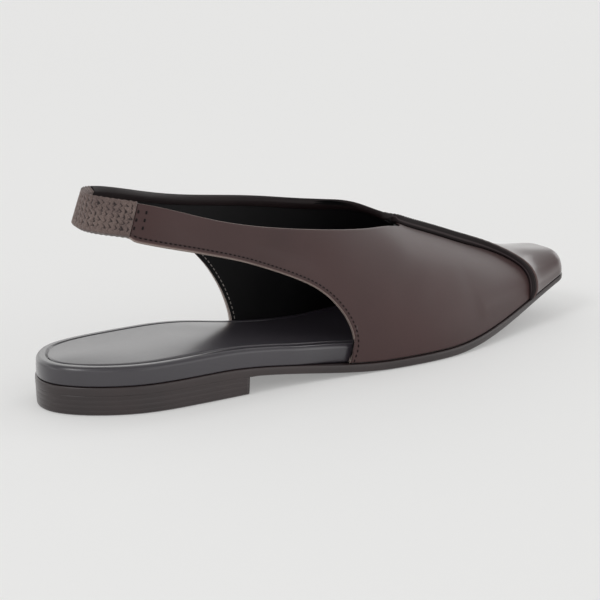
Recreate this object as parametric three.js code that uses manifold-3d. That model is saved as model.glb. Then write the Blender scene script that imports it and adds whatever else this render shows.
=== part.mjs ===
// Right sling back flat: thin leather sole, low stacked heel, wrapped footbed, a
// d'Orsay cut upper whose medial panel wraps over the vamp, and a gathered elastic
// at the back of the sling. Millimetres, +X to the toe, +Y to the medial side, +Z up.
import * as THREE from 'three';
import { mergeVertices } from 'three/addons/utils/BufferGeometryUtils.js';
import Module from 'manifold-3d';

const wasm = await Module();
wasm.setup();

// Driving sizes
const length = 258; // sole, heel to toe
const ballWidth = 74.8; // sole across the ball
const heelHeight = 7.9; // floor to the underside of the outsole
const heelLength = 77; // heel back to breast
const outsoleThickness = 3.5;
const outsoleToeThickness = 2.3;
const footbedThickness = 7.6; // at the heel
const footbedToeThickness = 2.4;
const toeSpring = 15; // rise of the sole at the tip
const slingHeight = 83.4; // floor to the top of the sling at the back
const slingLean = 21.5; // how far forward the sling's back stands
const slingReach = 110; // behind this length the sides lean forward
const toeCorner = 4.5; // corner radius of the square toe
const toeDrop = 1.4; // rounding of the toe box down to its tip
const wall = 1.8; // leather with its lining
const clearance = 0.3; // between neighbouring pieces
const soleLedge = 0.8; // outsole beyond the upper
const padInset = 4.0; // footbed edge to the groove around the insole
const padDepth = 1.4; // seat of the insole in the footbed
const padCrown = 1.1; // rise of the insole's middle over the rim
const padEdge = 0.5; // chamfer of the insole's edge
const padProud = 0.15; // insole's edge over the footbed
const shoulder = 2.0; // rounding of the footbed's top edge
const toeRoom = 10; // footbed and insole stop this far behind the tip
const heelTaper = 0.5; // heel block in from the sole edge
const heelSpare = 23; // block is made this much longer, then cut back to its breast
const heelRoll = 0.8; // rounding of the sole's lower edge
const wrapFoot = 0.7; // wrap panel's leather over the vamp's
const wrapRise = 1.8; // extra rise where it laps the lateral panel
const wrapInstep = 1.1; // and more of it over the instep
const wrapFade = 8; // length over which that rise dies away
const wrapTuck = 5; // height over the sole below which the extra rise tucks in
const edgeWidth = 2.8; // rolled edge of the wrap panel
const edgeProud = 0.35; // rolled edge above the panel
const elasticEnd = 35; // heel back to the elastic's seams at the top of the sling
const elasticSlant = 0.4; // forward slant of those seams
const elasticThickness = 2.3;
const openingBlend = 8; // half width over which one side's opening turns into the other's
const skirt = 6; // sides of the last's form below the outsole's top, before trimming
const leastRise = 1; // the last's form is never lower than this

// Half widths of the sole either side of the heel's axis: at is a share of the
// length, lateral and medial are shares of the ball width.
const outline = [
  { at: 0.00, lateral: 0.00, medial: 0.00 },
  { at: 0.02, lateral: 0.17, medial: 0.19 },
  { at: 0.06, lateral: 0.29, medial: 0.31 },
  { at: 0.12, lateral: 0.38, medial: 0.36 },
  { at: 0.20, lateral: 0.41, medial: 0.36 },
  { at: 0.32, lateral: 0.42, medial: 0.33 },
  { at: 0.43, lateral: 0.44, medial: 0.31 },
  { at: 0.54, lateral: 0.485, medial: 0.36 },
  { at: 0.64, lateral: 0.51, medial: 0.45 },
  { at: 0.72, lateral: 0.48, medial: 0.49 },
  { at: 0.80, lateral: 0.40, medial: 0.45 },
  { at: 0.88, lateral: 0.30, medial: 0.36 },
  { at: 0.95, lateral: 0.22, medial: 0.26 },
  { at: 1.00, lateral: 0.175, medial: 0.16 },
];

// Sections of the last: top is a share of the sling height, side and crown are the
// powers of its rounded section, arch is the medial fullness and ridge the top
// line's place, both shares of the ball width. Behind the throat the top is only
// where the sides would meet.
const last = [
  { at: 0.00, top: 1.34, side: 1.8, crown: 2.0, arch: 0.000, ridge: 0.00 },
  { at: 0.14, top: 1.34, side: 1.8, crown: 2.0, arch: 0.000, ridge: 0.00 },
  { at: 0.20, top: 1.39, side: 1.8, crown: 2.0, arch: 0.015, ridge: 0.00 },
  { at: 0.27, top: 1.55, side: 1.8, crown: 2.0, arch: 0.045, ridge: 0.00 },
  { at: 0.35, top: 1.62, side: 1.8, crown: 2.0, arch: 0.080, ridge: 0.00 },
  { at: 0.43, top: 1.42, side: 1.8, crown: 2.0, arch: 0.085, ridge: 0.01 },
  { at: 0.51, top: 1.06, side: 1.8, crown: 2.0, arch: 0.050, ridge: 0.02 },
  { at: 0.58, top: 0.82, side: 1.8, crown: 2.0, arch: 0.010, ridge: 0.03 },
  { at: 0.63, top: 0.695, side: 1.8, crown: 2.0, arch: 0.000, ridge: 0.03 },
  { at: 0.69, top: 0.583, side: 1.8, crown: 2.0, arch: 0.000, ridge: 0.04 },
  { at: 0.74, top: 0.52, side: 1.8, crown: 2.0, arch: 0.000, ridge: 0.05 },
  { at: 0.79, top: 0.46, side: 1.8, crown: 2.0, arch: 0.000, ridge: 0.05 },
  { at: 0.84, top: 0.403, side: 1.8, crown: 2.0, arch: 0.000, ridge: 0.06 },
  { at: 0.89, top: 0.364, side: 1.8, crown: 1.9, arch: 0.000, ridge: 0.08 },
  { at: 0.94, top: 0.330, side: 2.1, crown: 2.2, arch: 0.000, ridge: 0.08 },
  { at: 1.00, top: 0.313, side: 3.8, crown: 4.0, arch: 0.000, ridge: 0.03 },
];

// Top line of the upper, at a share of the length, as shares of the sling height
const topLine = [
  { at: -0.2, lateral: 1.035, medial: 1.035 },
  { at: 0.09, lateral: 1.000, medial: 1.000 },
  { at: 0.15, lateral: 0.965, medial: 0.968 },
  { at: 0.20, lateral: 0.917, medial: 0.930 },
  { at: 0.25, lateral: 0.865, medial: 0.887 },
  { at: 0.32, lateral: 0.807, medial: 0.835 },
  { at: 0.40, lateral: 0.757, medial: 0.795 },
  { at: 0.48, lateral: 0.714, medial: 0.760 },
  { at: 0.56, lateral: 0.675, medial: 0.722 },
  { at: 0.63, lateral: 0.635, medial: 0.683 },
  { at: 0.68, lateral: 0.592, medial: 0.620 },
  { at: 0.74, lateral: 0.575, medial: 0.575 },
];

// Lower edge of the sling and rear edge of the vamp: along is a share of the length,
// up a share of the sling height.
const sideOpening = {
  lateral: [
    { along: -0.20, up: 0.89 },
    { along: 0.08, up: 0.842 },
    { along: 0.13, up: 0.800 },
    { along: 0.23, up: 0.715 },
    { along: 0.31, up: 0.635 },
    { along: 0.40, up: 0.515 },
    { along: 0.447, up: 0.425 },
    { along: 0.478, up: 0.320 },
    { along: 0.494, up: 0.220 },
    { along: 0.496, up: 0.140 },
    { along: 0.487, up: 0.060 },
    { along: 0.475, up: -0.080 },
  ],
  medial: [
    { along: -0.20, up: 0.89 },
    { along: 0.08, up: 0.842 },
    { along: 0.13, up: 0.820 },
    { along: 0.21, up: 0.763 },
    { along: 0.28, up: 0.685 },
    { along: 0.335, up: 0.585 },
    { along: 0.370, up: 0.480 },
    { along: 0.394, up: 0.370 },
    { along: 0.408, up: 0.270 },
    { along: 0.415, up: 0.170 },
    { along: 0.412, up: 0.080 },
    { along: 0.400, up: -0.080 },
  ],
};

// Edge of the wrap panel seen from above: along is a share of the length, across a
// share of the ball width.
const wrapLine = [
  { along: 0.60, across: 0.000 },
  { along: 0.69, across: 0.014 },
  { along: 0.75, across: 0.026 },
  { along: 0.80, across: 0.020 },
  { along: 0.845, across: 0.004 },
  { along: 0.874, across: -0.034 },
  { along: 0.896, across: -0.087 },
  { along: 0.909, across: -0.150 },
  { along: 0.909, across: -0.210 },
  { along: 0.899, across: -0.270 },
  { along: 0.880, across: -0.400 },
];

// Sole line: shares of the length where the waist starts to fall, where the ball
// meets the floor and leaves it, and the power of the toe's sweep.
const soleLine = { waist: 0.24, ball: 0.57, lift: 0.68, sweep: 1.7 };

// Footbed, in shares of the length: it starts to narrow this far behind the vamp's rear
// edge, over this stretch, and thins from this place over this stretch. Rounding and
// seat take at most these shares of its thickness.
const footbedLine = { behind: 0.11, narrow: 0.1, thinFrom: 0.46, thinOver: 0.4 };
const footbedShare = { rounding: 0.7, seat: 0.45 };

// Share of the length where the wrap's instep rise starts to fade, and the stretch
const instepFade = { from: 0.82, over: 0.08 };

// The lateral top line turns into the medial one between these shares of the ball width
const throatBlend = { from: 0.01, to: 0.04 };

// Share of the length that is the heel's rounded back, power of the sling's lean, and
// the places across a crowned face with the share of the ball width that keeps it full
const heelShare = 0.13;
const leanPower = 1.5;
const crownPlaces = [0.12, 0.3, 0.5, 0.7, 0.88];
const crownFull = 0.6;

// Monotone curve through one column of a table; warp spaces the places
function curveOf(table, place, column, warp = (t) => t) {
  const t = table.map((row) => warp(row[place]));
  const v = table.map((row) => row[column]);
  const step = t.slice(1).map((ti, i) => (v[i + 1] - v[i]) / (ti - t[i]));
  const slope = t.map((_, i) => {
    if (i === 0) return step[0];
    if (i === t.length - 1) return step[i - 1];
    const before = t[i] - t[i - 1];
    const after = t[i + 1] - t[i];
    if (step[i - 1] * step[i] <= 0) return 0;
    const weight = (2 * after + before) / (3 * (after + before));
    return step[i - 1] * step[i] / (weight * step[i] + (1 - weight) * step[i - 1]);
  });
  return (place) => {
    const p = warp(place);
    let i = 0;
    while (i < t.length - 2 && p > t[i + 1]) i += 1;
    const h = t[i + 1] - t[i];
    const s = (p - t[i]) / h;
    if (s < 0) return v[0] + slope[0] * (p - t[0]);
    if (s > 1) return v[i + 1] + slope[i + 1] * (p - t[i + 1]);
    const rest = 1 - s;
    return (1 + 2 * s) * rest * rest * v[i] + s * rest * rest * h * slope[i]
      + s * s * (3 - 2 * s) * v[i + 1] + s * s * (s - 1) * h * slope[i + 1];
  };
}

const root = (t) => Math.sqrt(Math.max(t, 0));
const halfWidth = {
  lateral: curveOf(outline, 'at', 'lateral', root),
  medial: curveOf(outline, 'at', 'medial', root),
};
const lastOf = {};
for (const column of ['top', 'side', 'crown', 'arch', 'ridge']) {
  lastOf[column] = curveOf(last, 'at', column);
}
const topOf = {
  lateral: curveOf(topLine, 'at', 'lateral'),
  medial: curveOf(topLine, 'at', 'medial'),
};

function smooth(t) {
  const s = Math.min(Math.max(t, 0), 1);
  return s * s * (3 - 2 * s);
}

// Underside and top of the outsole
function soleUnder(x) {
  const s = x / length;
  const thin = smooth((s - soleLine.lift) / (1 - soleLine.lift));
  return soleTop(x) - outsoleThickness + (outsoleThickness - outsoleToeThickness) * thin;
}

function soleTop(x) {
  const s = x / length;
  const fall = smooth((s - soleLine.waist) / (soleLine.ball - soleLine.waist));
  const lift = Math.max((s - soleLine.lift) / (1 - soleLine.lift), 0);
  return outsoleThickness + heelHeight * (1 - fall) + toeSpring * lift ** soleLine.sweep;
}

// Half width of the sole with its rounded toe corners
function soleHalf(x, side) {
  const corner = Math.max((x - (length - toeCorner)) / toeCorner, 0);
  const cut = toeCorner * (1 - Math.sqrt(Math.max(1 - corner * corner, 0)));
  return Math.max(halfWidth[side](x / length) * ballWidth - cut, 0);
}

// Stations along the sole, closer round the heel's back and the toe's corners
const heelSteps = 10;
const bodySteps = 28;
const cornerSteps = 5;
const heelRound = heelShare * length;
const stations = [];
for (let i = 0; i < heelSteps; i += 1) {
  const turn = (i / heelSteps) * (Math.PI / 2);
  stations.push(heelRound * (1 - Math.cos(turn)));
}
for (let i = 0; i < bodySteps; i += 1) {
  stations.push(heelRound + (length - toeCorner - heelRound) * (i / bodySteps));
}
for (let i = 0; i <= cornerSteps; i += 1) {
  const turn = (i / cornerSteps) * (Math.PI / 2);
  stations.push(length - toeCorner + toeCorner * Math.sin(turn));
}

// Edge point of the sole at a station, moved in by an inset along the edge's normal
function edgePoint(index, side, inset) {
  const sign = side === 'lateral' ? -1 : 1;
  const x = stations[index];
  const point = new THREE.Vector2(x, sign * soleHalf(x, side));
  const normal = new THREE.Vector2();
  if (index === 0) {
    normal.set(1, 0);
  } else if (index === stations.length - 1) {
    normal.set(-1, 0);
  } else {
    const before = stations[index - 1];
    const after = stations[index + 1];
    normal.set(sign * (soleHalf(after, side) - soleHalf(before, side)), before - after);
    normal.multiplyScalar(sign).normalize();
  }
  const moved = point.clone().addScaledVector(normal, inset);
  if (moved.y * sign < 0) moved.y = 0;
  return moved;
}

// Closed solid through rings of points: the rings are joined in turn and the first
// and last are filled; a ring that shrinks to a line closes by itself.
function solidThrough(rings) {
  const count = rings[0].length;
  const positions = rings.flat().flatMap((p) => [p.x, p.y, p.z]);
  const faces = [];
  for (let i = 0; i < rings.length - 1; i += 1) {
    for (let j = 0; j < count; j += 1) {
      const a = i * count + j;
      const b = i * count + ((j + 1) % count);
      faces.push([a, b, b + count], [a, b + count, a + count]);
    }
  }
  for (const [ring, turn] of [[0, -1], [rings.length - 1, 1]]) {
    const start = ring * count;
    const middle = new THREE.Vector3();
    rings[ring].forEach((p) => middle.addScaledVector(p, 1 / count));
    const centre = positions.length / 3;
    positions.push(middle.x, middle.y, middle.z);
    for (let j = 0; j < count; j += 1) {
      const a = start + j;
      const b = start + ((j + 1) % count);
      faces.push(turn > 0 ? [centre, a, b] : [centre, b, a]);
    }
  }
  return toManifold(positions, faces);
}

function toManifold(positions, faces) {
  const raw = new THREE.BufferGeometry();
  raw.setAttribute('position', new THREE.Float32BufferAttribute(positions, 3));
  raw.setIndex(faces.flat());
  const merged = mergeVertices(raw, 1e-4);
  const index = merged.getIndex().array;
  const kept = [];
  for (let i = 0; i < index.length; i += 3) {
    const [a, b, c] = [index[i], index[i + 1], index[i + 2]];
    if (a !== b && b !== c && a !== c) kept.push(a, b, c);
  }
  const mesh = new wasm.Mesh({
    numProp: 3,
    vertProperties: new Float32Array(merged.getAttribute('position').array),
    triVerts: new Uint32Array(kept),
  });
  const solid = new wasm.Manifold(mesh);
  if (solid.volume() >= 0) return solid;
  const turned = kept.map((_, i) => kept[i - (i % 3) + [0, 2, 1][i % 3]]);
  return new wasm.Manifold(new wasm.Mesh({
    numProp: 3,
    vertProperties: mesh.vertProperties,
    triVerts: new Uint32Array(turned),
  }));
}

// Plate with the sole's outline. Each rim row gives an inset from the edge and a
// height for a place along the shoe, from the lower face round to the upper face,
// which may be crowned.
function plate(rim, from, to, crown = 0) {
  const inRange = stations.map((x, i) => i).filter((i) => stations[i] >= from && stations[i] <= to);
  const rings = inRange.map((i) => {
    const along = (side) => rim.map((row) => {
      const inset = typeof row.inset === 'function' ? row.inset(stations[i], side) : row.inset;
      const p = edgePoint(i, side, inset);
      return new THREE.Vector3(p.x, p.y, row.height(stations[i]));
    });
    const lateral = along('lateral');
    const medial = along('medial').reverse();
    return [...lateral, ...crownRow(lateral.at(-1), medial[0], crown), ...medial];
  });
  return solidThrough(rings);
}

// Points across a crowned upper face, between its lateral and medial edges; the crown
// dies away where the face is narrow
function crownRow(a, b, crown) {
  if (crown === 0) return [];
  const full = smooth(a.distanceTo(b) / (crownFull * ballWidth));
  return crownPlaces.map((t) => {
    const p = a.clone().lerp(b, t);
    p.z += crown * full * Math.sin(Math.PI * t);
    return p;
  });
}

// Solid between two height functions over a grid of places
function slab(xs, ys, lower, upper) {
  const rings = xs.map((x) => {
    const low = ys.map((y) => new THREE.Vector3(x, y, lower(x, y)));
    const high = ys.map((y) => new THREE.Vector3(x, y, upper(x, y))).reverse();
    return [...low, ...high];
  });
  return solidThrough(rings);
}

function evenly(from, to, steps) {
  return Array.from({ length: steps + 1 }, (_, i) => from + (to - from) * (i / steps));
}

// Upright prism over a closed plan outline of Vector2 points
function prism(points, low, high) {
  const shape = new THREE.Shape(points);
  const geometry = new THREE.ExtrudeGeometry(shape, { depth: high - low, bevelEnabled: false });
  geometry.translate(0, 0, low);
  const index = [...Array(geometry.getAttribute('position').count).keys()];
  const faces = [];
  for (let i = 0; i < index.length; i += 3) faces.push([i, i + 1, i + 2]);
  return toManifold([...geometry.getAttribute('position').array], faces);
}

// Point of the last: turn runs from 0 at the lateral edge over the ridge to PI at
// the medial edge, inset moves the surface in.
function lastPoint(index, turn, inset) {
  const side = turn < Math.PI / 2 ? 'lateral' : 'medial';
  const sign = side === 'lateral' ? -1 : 1;
  const x = stations[index];
  const s = x / length;
  const edge = edgePoint(index, side, inset + soleLedge);
  const base = soleTop(x);
  const tip = Math.min(Math.max((x - (length - toeDrop)) / toeDrop, 0), 1);
  const drop = toeDrop * (1 - Math.sqrt(1 - tip * tip));
  const rise = Math.max(lastOf.top(s) * slingHeight - base - inset - drop, leastRise);
  const up = Math.abs(Math.sin(turn)) ** (2 / lastOf.side(s));
  const out = Math.abs(Math.cos(turn)) ** (2 / lastOf.crown(s));
  const arch = side === 'medial' ? lastOf.arch(s) * ballWidth * Math.sin(Math.PI * up) : 0;
  const ridge = lastOf.ridge(s) * ballWidth * up * up;
  const z = base + rise * up;
  const behind = Math.max(1 - x / slingReach, 0) ** leanPower;
  const lean = slingLean * behind * (z - base) / (slingHeight - heelHeight - outsoleThickness);
  return new THREE.Vector3(edge.x + lean, sign * (Math.abs(edge.y) * out + arch) + ridge, z);
}

const girthSteps = 32;
// Closed last form, moved in by an inset for a place seen from above and its height
// over the sole; drop carries its sides below the outsole's top
function lastForm(insetAt, drop) {
  const rings = stations.map((x, index) => {
    const ring = [];
    for (let j = 0; j <= girthSteps; j += 1) {
      const turn = Math.PI * (j / girthSteps);
      const plain = lastPoint(index, turn, 0);
      ring.push(lastPoint(index, turn, insetAt(plain.x, plain.y, plain.z - soleTop(x))));
    }
    const foot = (p) => new THREE.Vector3(p.x, p.y, p.z - drop);
    return [foot(ring[0]), ...ring, foot(ring.at(-1))];
  });
  return solidThrough(rings);
}

// Plan curve of the wrap panel's edge, shifted towards the panel
const wrapCurve = new THREE.SplineCurve(
  wrapLine.map((row) => new THREE.Vector2(row.along * length, row.across * ballWidth)),
);
function wrapEdge(shift) {
  const steps = 44;
  const points = [];
  for (let i = 0; i <= steps; i += 1) {
    const tangent = wrapCurve.getTangent(i / steps);
    const normal = new THREE.Vector2(-tangent.y, tangent.x);
    points.push(wrapCurve.getPoint(i / steps).addScaledVector(normal, shift));
  }
  return points;
}
const wrapSamples = wrapEdge(0);

// How far the wrap panel stands over the lateral panel's surface
function wrapLift(x, y, up) {
  const near = Math.min(...wrapSamples.map((p) => Math.hypot(p.x - x, p.y - y)));
  const instep = wrapInstep * (1 - smooth((x / length - instepFade.from) / instepFade.over));
  return wrapFoot + (wrapRise + instep) * Math.exp(-near / wrapFade) * smooth(up / wrapTuck);
}

// Medial and toe side of the wrap line, from above
function wrapRegion(shift) {
  const beyond = ballWidth;
  return prism([
    new THREE.Vector2(0, 0),
    ...wrapEdge(shift),
    new THREE.Vector2(length + beyond, -beyond),
    new THREE.Vector2(length + beyond, beyond),
    new THREE.Vector2(0, beyond),
  ], -beyond, slingHeight * 2);
}

// Everything above the top line; the lateral line holds up to the wrap edge
function aboveTopLine() {
  const from = throatBlend.from * ballWidth;
  const to = throatBlend.to * ballWidth;
  const height = (x, y) => {
    const across = smooth((y - from) / (to - from));
    const s = x / length;
    return slingHeight * (topOf.lateral(s) * (1 - across) + topOf.medial(s) * across);
  };
  const ys = [-ballWidth, ...evenly(from, to, 4), ballWidth];
  const xs = evenly(topLine[0].at * length, topLine.at(-1).at * length, 66);
  return slab(xs, ys, height, () => slingHeight * 2);
}

// Everything below the sling and behind the vamp
function behindVamp() {
  const curve = (rows) => new THREE.SplineCurve(
    rows.map((row) => new THREE.Vector2(row.along * length, row.up * slingHeight)),
  ).getPoints(54);
  const lateral = curve(sideOpening.lateral);
  const medial = curve(sideOpening.medial);
  const rings = [];
  for (const y of [-ballWidth, ...evenly(-openingBlend, openingBlend, 6), ballWidth]) {
    const across = smooth((y + openingBlend) / (2 * openingBlend));
    const line = lateral.map((p, i) => p.clone().lerp(medial[i], across));
    const ring = line.map((p) => new THREE.Vector3(p.x, y, p.y));
    ring.push(new THREE.Vector3(ring[0].x, y, ring.at(-1).z));
    rings.push(ring);
  }
  return solidThrough(rings);
}

// Everything behind the elastic's seams, with the gap that parts the two
function behindElasticSeams(shift) {
  const seam = (z) => elasticEnd + shift - (slingHeight - z) * elasticSlant;
  const back = -length;
  const rings = [-ballWidth, ballWidth].map((y) => [
    new THREE.Vector3(back, y, 0),
    new THREE.Vector3(seam(0), y, 0),
    new THREE.Vector3(seam(2 * slingHeight), y, 2 * slingHeight),
    new THREE.Vector3(back, y, 2 * slingHeight),
  ]);
  return solidThrough(rings);
}

// Everything below the outsole's upper face
function belowUpper() {
  const xs = [-length, ...evenly(0, length, 60), 2 * length];
  const height = (x) => soleTop(Math.min(Math.max(x, 0), length)) + clearance;
  return slab(xs, [-ballWidth, ballWidth], () => -length, height);
}

// The pieces
const cutAway = {
  top: aboveTopLine(),
  side: behindVamp(),
  sole: belowUpper(),
};
const trim = (solid) => solid.subtract(cutAway.top).subtract(cutAway.side).subtract(cutAway.sole);

function makeUpper() {
  const outer = lastForm(() => 0, skirt);
  const inner = lastForm(() => wall, skirt * 2);
  const raised = lastForm((...place) => -wrapLift(...place), skirt);
  const panel = raised.intersect(wrapRegion(edgeWidth + clearance));
  const form = outer.add(panel).subtract(inner);
  return trim(form.subtract(behindElasticSeams(clearance)));
}

function makeWrapEdge() {
  const outer = lastForm((...place) => -wrapLift(...place) - edgeProud, skirt);
  const inner = lastForm(() => -clearance, skirt * 2);
  const strip = prism([...wrapEdge(0), ...wrapEdge(edgeWidth).reverse()], 0, slingHeight);
  const forward = outer.subtract(inner).intersect(strip);
  return trim(forward);
}

function makeElastic() {
  const swell = (elasticThickness - wall) / 2;
  const outer = lastForm(() => -swell, skirt);
  const inner = lastForm(() => wall + swell, skirt * 2);
  return trim(outer.subtract(inner).intersect(behindElasticSeams(0)));
}

function makeOutsole() {
  return plate([
    { inset: heelRoll, height: soleUnder },
    { inset: 0, height: (x) => soleUnder(x) + heelRoll / 2 },
    { inset: 0, height: (x) => soleTop(x) - heelRoll / 4 },
    { inset: heelRoll / 4, height: soleTop },
  ], 0, length);
}

function makeHeel() {
  const block = plate([
    { inset: heelTaper * 2, height: () => 0 },
    { inset: heelTaper, height: () => heelTaper },
    { inset: heelTaper / 2, height: (x) => soleUnder(x) - clearance },
  ], 0, heelLength + heelSpare);
  const sides = [-ballWidth, ballWidth];
  const ahead = slab([heelLength, length], sides, () => -heelHeight, () => heelHeight * 2);
  return block.subtract(ahead);
}

// Footbed: full width behind the vamp, inside its wall further on
const behindEdge = soleLedge / 2;
const insideVamp = soleLedge + wall + 2 * clearance;
function footbedInset(x, side) {
  const vampFoot = sideOpening[side].at(-2).along;
  const start = (vampFoot - footbedLine.behind) * length;
  const narrow = smooth((x - start) / (footbedLine.narrow * length));
  return behindEdge + (insideVamp - behindEdge) * narrow;
}
function footbedTop(x) {
  const thin = smooth((x / length - footbedLine.thinFrom) / footbedLine.thinOver);
  return soleTop(x) + clearance + footbedThickness
    + (footbedToeThickness - footbedThickness) * thin;
}

function footbedRim() {
  const turns = [0, 30, 60, 90].map((degrees) => degrees * Math.PI / 180);
  const low = { inset: footbedInset, height: (x) => soleTop(x) + clearance };
  const rows = turns.map((turn) => ({
    inset: (x, side) => footbedInset(x, side) + shoulder * (1 - Math.cos(turn)),
    height: (x) => {
      const round = Math.min(shoulder, (footbedTop(x) - soleTop(x)) * footbedShare.rounding);
      return footbedTop(x) - round * (1 - Math.sin(turn));
    },
  }));
  return [low, ...rows];
}

function makeFootbed() {
  const body = plate(footbedRim(), 0, length - toeRoom);
  const seatInset = (x, side) => footbedInset(x, side) + padInset;
  const seat = plate([
    { inset: seatInset, height: (x) => footbedTop(x) - padDepthAt(x) },
    { inset: seatInset, height: (x) => footbedTop(x) + footbedThickness },
  ], 0, length);
  return body.subtract(seat);
}
function padDepthAt(x) {
  return Math.min(padDepth, (footbedTop(x) - soleTop(x)) * footbedShare.seat);
}

function makeInsole() {
  const rim = padInset + clearance;
  const at = (extra) => (x, side) => footbedInset(x, side) + rim + extra;
  return plate([
    { inset: at(0), height: (x) => footbedTop(x) - padDepthAt(x) + clearance },
    { inset: at(0), height: (x) => footbedTop(x) + padProud - padEdge },
    { inset: at(padEdge), height: (x) => footbedTop(x) + padProud },
  ], 0, length - toeRoom, padCrown);
}

// Scene graph
const heelMiddle = heelLength / 2;
const shoe = new THREE.Group();
const body = new THREE.Group();
body.position.x = -heelMiddle;
shoe.add(body);

function addPiece(name, solid, color, roughness) {
  const mesh = solid.getMesh();
  const geometry = new THREE.BufferGeometry();
  geometry.setAttribute('position', new THREE.BufferAttribute(mesh.vertProperties.slice(), 3));
  geometry.setIndex(new THREE.BufferAttribute(mesh.triVerts.slice(), 1));
  geometry.computeVertexNormals();
  const material = new THREE.MeshStandardMaterial({ color, roughness, metalness: 0 });
  const piece = new THREE.Mesh(geometry, material);
  piece.name = name;
  body.add(piece);
}

addPiece('heel', makeHeel(), 0x2b2220, 0.45);
addPiece('outsole', makeOutsole(), 0x35292a, 0.5);
addPiece('footbed', makeFootbed(), 0x3c3c40, 0.5);
addPiece('insole', makeInsole(), 0x3f3f43, 0.55);
addPiece('upper', makeUpper(), 0x483b39, 0.5);
addPiece('wrap_edge', makeWrapEdge(), 0x2a2628, 0.45);
addPiece('sling_elastic', makeElastic(), 0x5a4d49, 0.8);

export default shoe;
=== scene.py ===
import math

import bmesh
import bpy
import numpy as np
from mathutils import Matrix, Vector


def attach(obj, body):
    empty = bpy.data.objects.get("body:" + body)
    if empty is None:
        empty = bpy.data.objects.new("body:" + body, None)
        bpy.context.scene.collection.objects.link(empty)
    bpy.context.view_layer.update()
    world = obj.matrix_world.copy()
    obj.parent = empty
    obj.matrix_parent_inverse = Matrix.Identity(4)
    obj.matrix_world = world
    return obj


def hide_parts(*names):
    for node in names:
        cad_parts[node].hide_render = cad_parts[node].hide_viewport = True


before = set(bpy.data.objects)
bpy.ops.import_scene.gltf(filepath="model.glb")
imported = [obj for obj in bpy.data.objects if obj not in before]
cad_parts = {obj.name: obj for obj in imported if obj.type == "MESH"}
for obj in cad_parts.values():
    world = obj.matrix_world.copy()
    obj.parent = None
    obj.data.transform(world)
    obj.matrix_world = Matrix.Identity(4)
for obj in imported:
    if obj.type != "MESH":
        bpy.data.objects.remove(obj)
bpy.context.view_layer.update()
mm = 0.001

# Sizes, millimetres
shoe = {
    "length": 258.0, "ballWidth": 74.8, "heelHeight": 7.9, "heelLength": 77.0,
    "outsole": 3.5, "outsoleToe": 2.3, "footbed": 7.6, "footbedToe": 2.4,
    "toeSpring": 15.0, "slingHeight": 83.4, "slingLean": 21.5, "slingReach": 110.0,
    "toeCorner": 4.5, "toeDrop": 1.4, "wall": 1.8, "leather": 1.0, "clearance": 0.3,
    "ledge": 0.8, "toeCap": 8.0, "toeBow": 0.3, "padInset": 4.0, "padDepth": 1.4, "padCrown": 1.1,
    "wrapFoot": 0.7, "wrapRise": 1.8, "wrapInstep": 1.1, "wrapFade": 8.0, "wrapTuck": 5.0, "edgeWidth": 2.8, "edgeProud": 0.35,
    "elasticEnd": 35.0, "elasticSlant": 0.40, "elasticThick": 2.3,
    "waist": 0.24, "ball": 0.57, "lift": 0.68, "sweep": 1.7,
}
heelRound = 0.13 * shoe["length"]

# share of length, lateral and medial half width as shares of the ball width
outlineRows = [
    (0.00, 0.00, 0.00), (0.02, 0.17, 0.19), (0.06, 0.29, 0.31), (0.12, 0.38, 0.36),
    (0.20, 0.41, 0.36), (0.32, 0.42, 0.33), (0.43, 0.44, 0.31), (0.54, 0.485, 0.36),
    (0.64, 0.51, 0.45), (0.72, 0.48, 0.49), (0.80, 0.40, 0.45), (0.88, 0.30, 0.36),
    (0.95, 0.22, 0.26), (1.00, 0.175, 0.16),
]
# share of length, top, side power, crown power, arch, ridge
lastRows = [
    (0.00, 1.34, 1.8, 2.0, 0.000, 0.00), (0.14, 1.34, 1.8, 2.0, 0.000, 0.00),
    (0.20, 1.39, 1.8, 2.0, 0.015, 0.00), (0.27, 1.55, 1.8, 2.0, 0.045, 0.00),
    (0.35, 1.62, 1.8, 2.0, 0.080, 0.00), (0.43, 1.42, 1.8, 2.0, 0.085, 0.01),
    (0.51, 1.06, 1.8, 2.0, 0.050, 0.02), (0.58, 0.82, 1.8, 2.0, 0.010, 0.03),
    (0.63, 0.695, 1.8, 2.0, 0.000, 0.03), (0.69, 0.583, 1.8, 2.0, 0.000, 0.04),
    (0.74, 0.520, 1.8, 2.0, 0.000, 0.05), (0.79, 0.460, 1.8, 2.0, 0.000, 0.05),
    (0.84, 0.403, 1.8, 2.0, 0.000, 0.06), (0.89, 0.364, 1.8, 1.9, 0.000, 0.08),
    (0.94, 0.330, 2.1, 2.2, 0.000, 0.08), (1.00, 0.313, 3.8, 4.0, 0.000, 0.03),
]
# share of length, lateral and medial top line as shares of the sling height
topRows = [
    (-0.2, 1.035, 1.035), (0.09, 1.000, 1.000), (0.15, 0.965, 0.968), (0.20, 0.917, 0.930),
    (0.25, 0.865, 0.887), (0.32, 0.807, 0.835), (0.40, 0.757, 0.795), (0.48, 0.714, 0.760),
    (0.56, 0.675, 0.722), (0.63, 0.635, 0.683), (0.68, 0.592, 0.620), (0.74, 0.575, 0.575),
]
# edge of each side opening: share of length, share of sling height
openingRows = {
    "lateral": [(-0.20, 0.89), (0.08, 0.842), (0.13, 0.800), (0.23, 0.715), (0.31, 0.635),
                (0.40, 0.515), (0.447, 0.425), (0.478, 0.320), (0.494, 0.220),
                (0.496, 0.140), (0.487, 0.060), (0.475, -0.080)],
    "medial": [(-0.20, 0.89), (0.08, 0.842), (0.13, 0.820), (0.21, 0.763), (0.28, 0.685),
               (0.335, 0.585), (0.370, 0.480), (0.394, 0.370), (0.408, 0.270),
               (0.415, 0.170), (0.412, 0.080), (0.400, -0.080)],
}
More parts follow.
